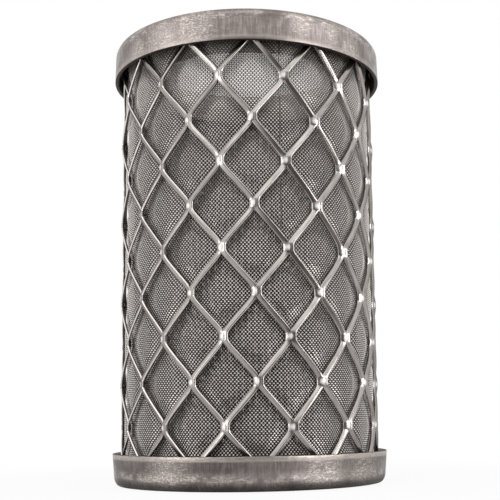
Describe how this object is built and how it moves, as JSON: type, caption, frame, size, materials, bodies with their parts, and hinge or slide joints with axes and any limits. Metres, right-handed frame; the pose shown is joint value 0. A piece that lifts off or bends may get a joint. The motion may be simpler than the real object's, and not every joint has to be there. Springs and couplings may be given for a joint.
{
  "type": "pressure filter element",
  "caption": "Open-ended cylindrical filter element: a wire cloth sleeve inside raised expanded metal, held at each end in a pressed ring cap.",
  "frame": {"origin": "middle of the bottom cap's flat outer face, on the element's axis", "axes": "+Z along the element's axis from the bottom cap to the top cap; -Y is the side that the picture shows"},
  "size_m": [0.06, 0.06, 0.096],
  "materials": {
    "cap_sheet": "worn pressed stainless sheet",
    "expanded_metal": "bright stainless strands with sheared edges",
    "wire_cloth": "plain-woven stainless wire cloth",
    "sealing_compound": "cured sealing compound"
  },
  "bodies": {
    "root": {"bottom_end_cap": "cap_sheet", "top_end_cap": "cap_sheet", "expanded_metal_sleeve": "expanded_metal", "wire_cloth_sleeve": "wire_cloth", "bottom_bond_ring": "sealing_compound", "top_bond_ring": "sealing_compound"}
  },
  "joints": []
}
